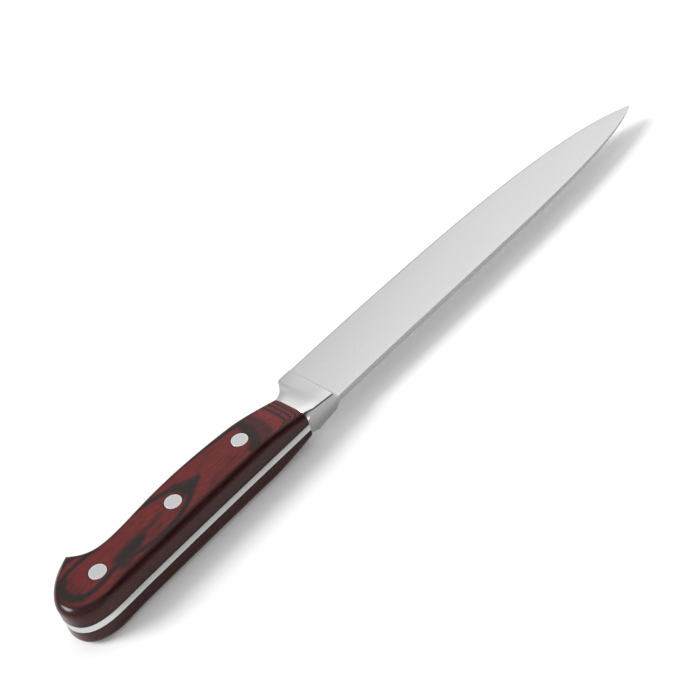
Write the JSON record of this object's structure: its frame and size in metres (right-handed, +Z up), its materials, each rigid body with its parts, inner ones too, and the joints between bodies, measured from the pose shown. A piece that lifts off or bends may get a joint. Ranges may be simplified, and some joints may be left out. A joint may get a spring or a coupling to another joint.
{
  "type": "carving knife",
  "caption": "Slim straight-edged carving knife with a forged bolster, a full tang and a riveted laminated wood handle with a hooked butt.",
  "frame": {"origin": "under the middle of the whole knife's bounding box, on the surface it lies on", "axes": "+X from the butt to the tip, +Y from the spine to the cutting edge, +Z up, out of the left side of the blade; the knife lies flat on its right scale"},
  "size_m": [0.3282, 0.0284, 0.0177],
  "materials": {
    "blade_steel": "fine satin polish, brighter on the bolster",
    "laminated_wood": "polished red and near-black laminated wood",
    "rivet_steel": "flush ground and polished"
  },
  "bodies": {
    "root": {"blade_forging": "blade_steel", "left_scale": "laminated_wood", "right_scale": "laminated_wood", "front_rivet_sleeve": "rivet_steel", "front_rivet_post": "rivet_steel", "middle_rivet_sleeve": "rivet_steel", "middle_rivet_post": "rivet_steel", "rear_rivet_sleeve": "rivet_steel", "rear_rivet_post": "rivet_steel"}
  },
  "joints": []
}
